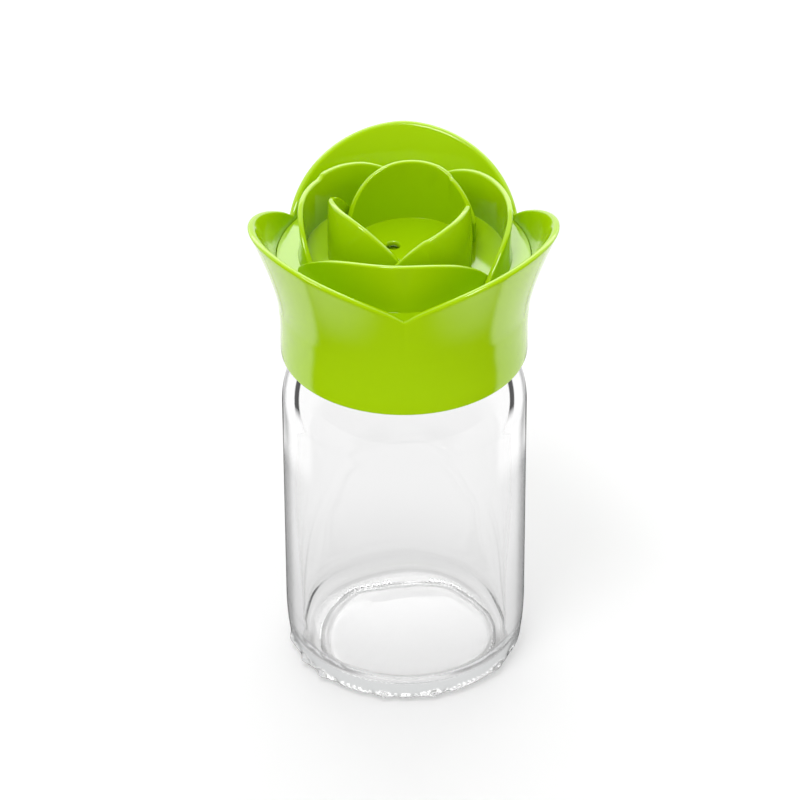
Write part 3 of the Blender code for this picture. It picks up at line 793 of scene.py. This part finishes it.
class SHAKER_OT_dial(bpy.types.Operator):
    """Makes the dial's floor with its salt holes, split snap pin and stop lug"""

    bl_idname = "shaker.dial"
    bl_label = "Dial Floor"

    def execute(self, context):
        """The floor is a disc turned round Z with the holed plate in its middle. The pin is two halves, each a
        half circle and its chord carried down the pin's profile, and the lug is a block bent round the axis."""
        cap, dial = context.scene.shaker_cap, context.scene.shaker_dial
        low = DECK_Z + cap.deck + SEAT_GAP
        high = low + dial.floor
        hub, chamfer = dial.pin + 0.0001, 0.0002
        section = chain(
            run((PATCH, high), (dial.radius - dial.edge, high), 24),
            arc((dial.radius - dial.edge, high - dial.edge), dial.edge, QUARTER, 0.0, 4),
            run((dial.radius, high - dial.edge), (dial.radius, low + chamfer), 3),
            run((dial.radius - chamfer, low), (PATCH, low), 8),
        )
        shell = Shell()
        shell.grid(spun(ring_angles(), section[None, :, 0], section[None, :, 1]), wrap_u=True)
        holed_plate(shell, hub, PATCH, dial.hole, dial.hole_circle, dial.hole_edge, low, high)
        for height in (low, high):
            shell.grid(spun(pin_sweep(), np.linspace(hub, 0.0, 5)[None, :], height), wrap_u=True)

        barb_top, barb_low = DECK_Z - SEAT_GAP, PIN_TIP_Z + 0.0012
        barb, tip = dial.pin + dial.barb, 0.0010
        pin = chain(
            run((dial.pin, low + 0.0003), (dial.pin, barb_top), 4),
            run((barb, barb_top), (barb, barb_low), 2),
            run((barb, barb_low), (tip, PIN_TIP_Z), 4),
        )
        radius, chord = pin[:, :1], dial.slit / 2.0
        first = np.arcsin(chord / radius)
        bend = first + (math.pi - 2.0 * first) * np.linspace(0.0, 1.0, 25)
        flat = radius * np.cos(first) * np.linspace(-1.0, 1.0, 9)[1:-1]
        x = np.concatenate([radius * np.cos(bend), flat], 1)
        y = np.concatenate([radius * np.sin(bend), np.full_like(flat, chord)], 1)
        pin_half = np.stack(np.broadcast_arrays(x, y, pin[:, 1:]), -1)
        blocks = [turned(pin_half, HOLE_FIRST + QUARTER + side) for side in (0.0, math.pi)]

        half, lug_top = dial.stop_width / 2.0, low + 0.0004
        lug_low = DECK_Z + cap.deck - dial.stop_depth + SEAT_GAP
        bend = (LUG_PLACE + np.linspace(-LUG_HALF, LUG_HALF, 9))[:, None]
        lug_radius = dial.stop_circle + np.array([[-half, half, half, -half]])
        blocks.append(spun(bend, lug_radius, np.array([[lug_low, lug_low, lug_top, lug_top]])))
        for block in blocks:
            shell.grid(block, wrap_v=True)
            shell.fan(block[0])
            shell.fan(block[-1])
        made = shell.piece("rose_dial_floor", plastic("lime_rose_plastic"), 40.0)
        finish_piece(made, "dial", "rose_plastic", "rose_dial")
        return {"FINISHED"}


def ends_close(reach, count, close, end_steps):
    """Places along a petal, from -reach to reach, evenly spaced and then closer over the last stretch, where
    they follow a quarter circle so that the end is rounded."""
    turn = np.linspace(0.0, QUARTER, end_steps + 1)
    end = reach - close + close * np.sin(turn)
    body = np.linspace(-reach + close, reach - close, count)
    return np.concatenate([-end[::-1][:-1], body, end[1:]])


def along_petal(u, places, changes):
    """A change along a petal, read off between given places by straight lines, in millimetres turned to metres."""
    return np.interp(u, places, changes) * 0.001


class PetalForm(NamedTuple):
    """Form of three like petals: metres, heights over the dial's floor, and degrees. Swells and lifts are places
    along a petal and then millimetres. A dent is an angle, a depth and a spread."""

    turn: float
    waist: float
    curve: float
    waist_z: float
    end_z: float
    rise: float
    round: float
    sharp: float
    spiral: float
    root_swell: tuple
    swell: tuple
    lifts: tuple
    dent: tuple


def petal_ring(scene, name, form, first, wall):
    """Three standing petals. With u the place along a petal, its outer face lies at
    waist + curve (height - waist_z)^2 - spiral u + swell(u), where the swell goes from the root's to the rim's with
    the cube of the height. Its rim lies at end_z + rise (1 - |u|^round)^sharp + lift(u), less the dent's sharp V.
    The section goes up the outer face from a rounded foot, over a round rim, and down the inner face. The wall
    narrows to nothing over its last half thickness, so each end is a rounded upright edge."""
    dial = scene.shaker_dial
    floor_z = DECK_Z + scene.shaker_cap.deck + SEAT_GAP + dial.floor
    place, depth, spread = form.dent

    def face(height):
        return form.waist + form.curve * (height - floor_z - form.waist_z) ** 2

    sink = 0.0003
    close = wall / 2.0 / (face(floor_z + 0.005) * HALF_PETAL)
    u = ends_close(dial.reach, 121, close, 8)[:, None]
    arch = np.maximum(0.0, 1.0 - (np.abs(u) / dial.reach) ** form.round) ** form.sharp
    shell = Shell()
    for index, lift in enumerate(form.lifts):
        angle = first + math.radians(dial.turn + form.turn) + index * PETAL_SPAN + HALF_PETAL * u
        gap = (angle - place + math.pi) % TAU - math.pi
        rim = floor_z + form.end_z + form.rise * arch + along_petal(u, *lift) - depth * np.exp(-np.abs(gap) / spread)
        ending = np.clip((np.abs(u) - dial.reach + close) / close, 0.0, 1.0)
        thin = np.sqrt(np.maximum(0.0, 1.0 - ending**2))
        half = wall / 2.0 * thin
        room = np.maximum(rim - half - floor_z, 0.00003)
        foot = np.minimum(dial.foot, room * 0.9) * thin
        bend = np.linspace(0.0, QUARTER, 7)[None, :]
        foot_off = half + foot * (1.0 - np.sin(bend))
        foot_z = floor_z + foot * (1.0 - np.cos(bend))
        steps = np.linspace(0.0, 1.0, 12)[None, 1:]
        side_z = floor_z + foot + (rim - half - floor_z - foot) * steps
        side_off = half * np.ones_like(side_z)
        crest = np.linspace(0.0, math.pi, 15)[None, 1:-1]
        crest_off = half * np.sign(np.cos(crest)) * np.abs(np.cos(crest)) ** 0.7
        crest_z = rim - half + half * np.sin(crest) ** 0.7
        below = np.full_like(u, floor_z - sink)
        rising = np.concatenate([half + foot, foot_off, side_off], 1)
        off = np.concatenate([rising, crest_off, -rising[:, ::-1]], 1)
        rising = np.concatenate([below, foot_z, side_z], 1)
        height = np.concatenate([rising, crest_z, rising[:, ::-1]], 1)
        share_up = np.clip((height - floor_z) / (rim - floor_z), 0.0, 1.0) ** 3
        bulge = along_petal(u, *form.root_swell) * (1.0 - share_up) + along_petal(u, *form.swell) * share_up
        radius = face(height) - form.spiral * u + bulge - wall / 2.0 + off
        shell.grid(spun(angle, radius, height), wrap_v=True)
    finish_piece(shell.piece(name, plastic("lime_rose_plastic"), 60.0), "dial", "rose_plastic")


MIDDLE_FORM = PetalForm(
    turn=-0.4,
    waist=0.0212,
    curve=16.0,
    waist_z=0.0044,
    end_z=0.00046,
    rise=0.0099,
    round=2.91,
    sharp=1.12,
    spiral=0.00057,
    root_swell=((-PETAL_END, PETAL_END), (0.0, 0.0)),
    swell=((-PETAL_END, -0.5, -0.38, 0.6, 0.87, PETAL_END), (0.0, 0.0, -0.15, 0.0, 0.1, -0.3)),
    lifts=(
        (
            (-PETAL_END, -0.8, -0.4, -0.03, 0.02, 0.3, 0.6, 0.87, PETAL_END),
            (0.0, 0.2, 0.25, 0.35, -0.25, 0.0, 0.35, 0.2, 0.0),
        ),
        ((-PETAL_END, -0.8, -0.4, 0.0, 0.3, PETAL_END), (0.6, -0.1, 0.1, 0.35, 0.4, 0.2)),
        ((-PETAL_END, -0.8, 0.6, PETAL_END), (0.2, 0.2, 0.3, 0.2)),
    ),
    dent=(math.radians(142.0), 0.0003, math.radians(0.9)),
)
BUD_FORM = PetalForm(
    turn=0.25,
    waist=0.01405,
    curve=-6.0,
    waist_z=0.0035,
    end_z=0.0043,
    rise=0.0091,
    round=2.27,
    sharp=0.856,
    spiral=0.00096,
    root_swell=(
        (-PETAL_END, -0.95, -0.75, -0.55, -0.35, -0.1, 0.2, 0.5, PETAL_END),
        (0.2, 0.22, 0.4, 0.7, 0.86, 0.75, 0.48, 0.27, 0.1),
    ),
    swell=(
        (-PETAL_END, -0.8, -0.62, -0.57, -0.4, -0.15, 0.2, 0.5, PETAL_END),
        (0.2, 0.2, 0.3, 0.75, 1.0, 0.8, 0.45, 0.25, 0.1),
    ),
    lifts=(((-PETAL_END, -0.4, 0.2, PETAL_END), (0.0, 0.2, 0.25, 0.1)),) * PETALS,
    dent=(math.radians(48.0), 0.0002, math.radians(0.9)),
)


class SHAKER_OT_middle_petals(bpy.types.Operator):
    """Makes the three middle petals of the rose"""

    bl_idname = "shaker.middle_petals"
    bl_label = "Middle Petals"

    def execute(self, context):
        """Outer face at waist + curve (height - waist_z)^2, rim at end_z + rise (1 - |u|^round)^sharp, with the
        numbers of MIDDLE_FORM."""
        scene = context.scene
        petal_ring(scene, "middle_rose_petals", MIDDLE_FORM, MIDDLE_FIRST, scene.shaker_dial.middle_wall)
        return {"FINISHED"}


class SHAKER_OT_bud(bpy.types.Operator):
    """Makes the three petals of the bud"""

    bl_idname = "shaker.bud"
    bl_label = "Bud"

    def execute(self, context):
        """Outer face at waist + curve (height - waist_z)^2, rim at end_z + rise (1 - |u|^round)^sharp, with the
        numbers of BUD_FORM."""
        scene = context.scene
        petal_ring(scene, "rose_bud_petals", BUD_FORM, OUTER_FIRST, scene.shaker_dial.bud_wall)
        return {"FINISHED"}


def soft_box(name, place, aim, width, depth, radiance):
    """A rectangular soft box at a place, turned to a target, whose power gives its face that radiance."""
    lamp = bpy.data.lights.new(name, "AREA")
    lamp.shape = "RECTANGLE"
    lamp.size, lamp.size_y = width, depth
    lamp.energy = radiance * math.pi * width * depth
    made = bpy.data.objects.new(name, lamp)
    bpy.context.scene.collection.objects.link(made)
    made.location = place
    made.rotation_euler = (made.location - aim).to_track_quat("Z", "Y").to_euler()


def floor_material():
    """White floor that differs by the kind of ray. The camera sees nearly plain white with the object's soft shadow.
    Gloss sees a painted reflection: a white field far behind the object, and for its high parts also beside it and
    close round its front, and dark elsewhere. Glass sees painted shade: white that dims towards the foot, a grey
    hollow under the base, and a dark ring below the front flanks of the heel."""
    made = bpy.data.materials.new("studio_floor")
    made.use_nodes = True
    made.node_tree.nodes.clear()
    nodes = Nodes(made.node_tree)
    rays = nodes.add("LightPath").outputs
    where = nodes.add("TexCoord").outputs["Object"]
    x, y, _ = nodes.split(where)
    distance = nodes.length(where)
    across = nodes.calc("ABSOLUTE", x, 0.0)
    # Painted reflection for glossy rays: white far behind, and for high parts beside and close in front, dark
    # elsewhere
    behind = nodes.ramp(y, -0.012, 0.004)
    high = nodes.ramp(rays["Ray Length"], 0.082, 0.096)
    aside = nodes.ramp(nodes.calc("SUBTRACT", across, y), -0.034, -0.016)
    far = nodes.calc("MAXIMUM", nodes.ramp(distance, 0.098, 0.125), nodes.times(aside, high))
    near = nodes.times(nodes.ramp(distance, 0.066, 0.088, 1.0, 0.0), high)
    field = nodes.calc("MAXIMUM", nodes.times(behind, far), nodes.times(nodes.rest(behind), near))
    # Painted shade for rays through the glass: a grey hollow under the base, a dark contact ring under the front
    # flanks, and white that dims towards the foot
    moved = nodes.add("VectorMath", {0: where, 1: (0.0012, -0.0022, 0.0)}, operation="SUBTRACT").outputs[0]
    under = nodes.ramp(nodes.length(moved), 0.0160, 0.0176, 1.0, 0.0)
    hollow = nodes.times(under, nodes.ramp(y, -0.020, 0.016, 0.56, 0.77))
    flank = nodes.times(nodes.ramp(across, 0.008, 0.014), nodes.ramp(y, -0.006, 0.0, 1.0, 0.0))
    ring = nodes.times(nodes.band(distance, 0.0205, 0.0220, 0.027, 0.030, 0.5), flank)
    outer = nodes.times(nodes.ramp(distance, 0.024, 0.060, 0.84, 1.02), nodes.rest(ring))
    clear = nodes.calc("ADD", hollow, nodes.times(nodes.rest(under), outer))

    def glow(strength):
        return nodes.add("Emission", {"Color": (1, 1, 1, 1), "Strength": strength}).outputs[0]

    def paint(grey):
        return nodes.add("BsdfDiffuse", {"Color": (grey, grey, grey, 1)}).outputs[0]

    camera = nodes.add("AddShader", {0: paint(0.45), 1: glow(0.42)}).outputs[0]
    gloss = glow(nodes.times(field, 1.15))
    surface = paint(0.80)
    for kind, shader in (("Is Camera Ray", camera), ("Is Glossy Ray", gloss), ("Is Transmission Ray", glow(clear))):
        surface = nodes.add("MixShader", {0: rays[kind], 1: surface, 2: shader}).outputs[0]
    nodes.add("OutputMaterial", {"Surface": surface})
    return made


def studio_world(dome):
    """Plain white for the camera, and an even dome for diffuse light. Gloss sees a dome that is white behind and
    dark in front, with a brighter patch behind at each side, and glass sees one that is white behind and grey in
    front."""
    world = bpy.data.worlds.new("studio_world")
    world.use_nodes = True
    world.node_tree.nodes.clear()
    nodes = Nodes(world.node_tree)
    rays = nodes.add("LightPath").outputs
    x, y, z = nodes.split(nodes.add("TexCoord").outputs["Generated"])
    aside = nodes.band(nodes.calc("ABSOLUTE", x, 0.0), 0.20, 0.32, 0.70, 0.82)
    patches = nodes.times(aside, nodes.band(z, 0.04, 0.12, 0.48, 0.60), nodes.ramp(y, 0.1, 0.25, 0.0, 0.9))
    gloss = nodes.calc("ADD", nodes.ramp(y, -0.1, 0.15, 0.0, 1.15), patches)
    glass = nodes.ramp(y, -0.25, 0.15, 0.2, 1.0)
    strength = dome
    for kind, light in (("Is Glossy Ray", gloss), ("Is Transmission Ray", glass), ("Is Camera Ray", 1.0)):
        strength = nodes.add("Mix", {"Factor": rays[kind], "A": strength, "B": light}, data_type="FLOAT").outputs[0]
    glow = nodes.add("Background", {"Color": (1, 1, 1, 1), "Strength": strength}).outputs[0]
    nodes.add("OutputWorld", {"Surface": glow})
    bpy.context.scene.world = world


class SHAKER_OT_studio(bpy.types.Operator):
    """Makes the floor, the soft boxes, the white world and the camera"""

    bl_idname = "shaker.studio"
    bl_label = "Studio"

    def execute(self, context):
        """The camera looks at its target from the given distance and elevation, straight from the front."""
        studio = context.scene.shaker_studio
        shell = Shell()
        rings = np.array([0.0, 0.05, 0.1, 0.2, 0.4, 0.8, 1.5])[None, :]
        shell.grid(spun(ring_angles(96), rings, -0.0001), wrap_u=True)
        shell.piece("studio_floor", floor_material())
        studio_world(studio.dome)
        target = Vector((studio.aim_x, 0.0, studio.aim_z))
        soft_box("soft_box_behind", (0.0, 0.75, 0.62), target, 1.0, 0.5, studio.box_light)
        soft_box("soft_box_above", (-0.14, -0.30, 0.88), target, 0.22, 0.22, studio.top_light)
        lens = bpy.data.cameras.new("photo_camera")
        lens.lens = studio.lens
        lens.sensor_width = 36.0
        lens.clip_start = 0.01
        made = bpy.data.objects.new("photo_camera", lens)
        context.scene.collection.objects.link(made)
        tilt = math.radians(studio.elevation)
        made.location = target + studio.distance * Vector((0.0, -math.cos(tilt), math.sin(tilt)))
        look = Matrix.Rotation(QUARTER - tilt, 3, "X") @ Matrix.Rotation(-math.radians(studio.roll), 3, "Z")
        made.rotation_euler = look.to_euler()
        context.scene.camera = made
        context.scene.view_settings.view_transform = "Standard"
        return {"FINISHED"}


class SHAKER_PT_panel(bpy.types.Panel):
    """Buttons and sizes of the shaker"""

    bl_label = "Rose Salt Shaker"
    bl_idname = "SHAKER_PT_panel"
    bl_space_type = "VIEW_3D"
    bl_region_type = "UI"
    bl_category = "Shaker"

    def draw(self, context):
        """One box for each group of sizes, then one button for each piece."""
        for label, key, kind in GROUPS:
            box = self.layout.box()
            box.label(text=label)
            for prop in kind.__annotations__:
                box.prop(getattr(context.scene, key), prop)
        for operator in OPERATORS:
            self.layout.operator(operator.bl_idname)


GROUPS = (
    ("Jar", "shaker_jar", JarSizes),
    ("Thread", "shaker_thread", ThreadSizes),
    ("Seal", "shaker_seal", SealSizes),
    ("Cap", "shaker_cap", CapSizes),
    ("Dial", "shaker_dial", DialSizes),
    ("Finishes", "shaker_finishes", Finishes),
    ("Studio", "shaker_studio", StudioSettings),
)
OPERATORS = (
    SHAKER_OT_jar,
    SHAKER_OT_seal,
    SHAKER_OT_cap,
    SHAKER_OT_dial,
    SHAKER_OT_middle_petals,
    SHAKER_OT_bud,
    SHAKER_OT_studio,
)


def register():
    """Registers the settings, the operators and the panel."""
    for _, key, kind in GROUPS:
        bpy.utils.register_class(kind)
        setattr(bpy.types.Scene, key, PointerProperty(type=kind))
    for kind in (*OPERATORS, SHAKER_PT_panel):
        bpy.utils.register_class(kind)


def unregister():
    """Takes everything back out, in reverse order."""
    for kind in (SHAKER_PT_panel, *reversed(OPERATORS)):
        bpy.utils.unregister_class(kind)
    for _, key, kind in reversed(GROUPS):
        delattr(bpy.types.Scene, key)
        bpy.utils.unregister_class(kind)


def main():
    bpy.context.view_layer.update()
    register()
    bpy.ops.shaker.jar()
    bpy.ops.shaker.seal()
    bpy.ops.shaker.cap()
    bpy.ops.shaker.dial()
    bpy.ops.shaker.middle_petals()
    bpy.ops.shaker.bud()
    bpy.ops.shaker.studio()


if __name__ == "__main__":
    main()
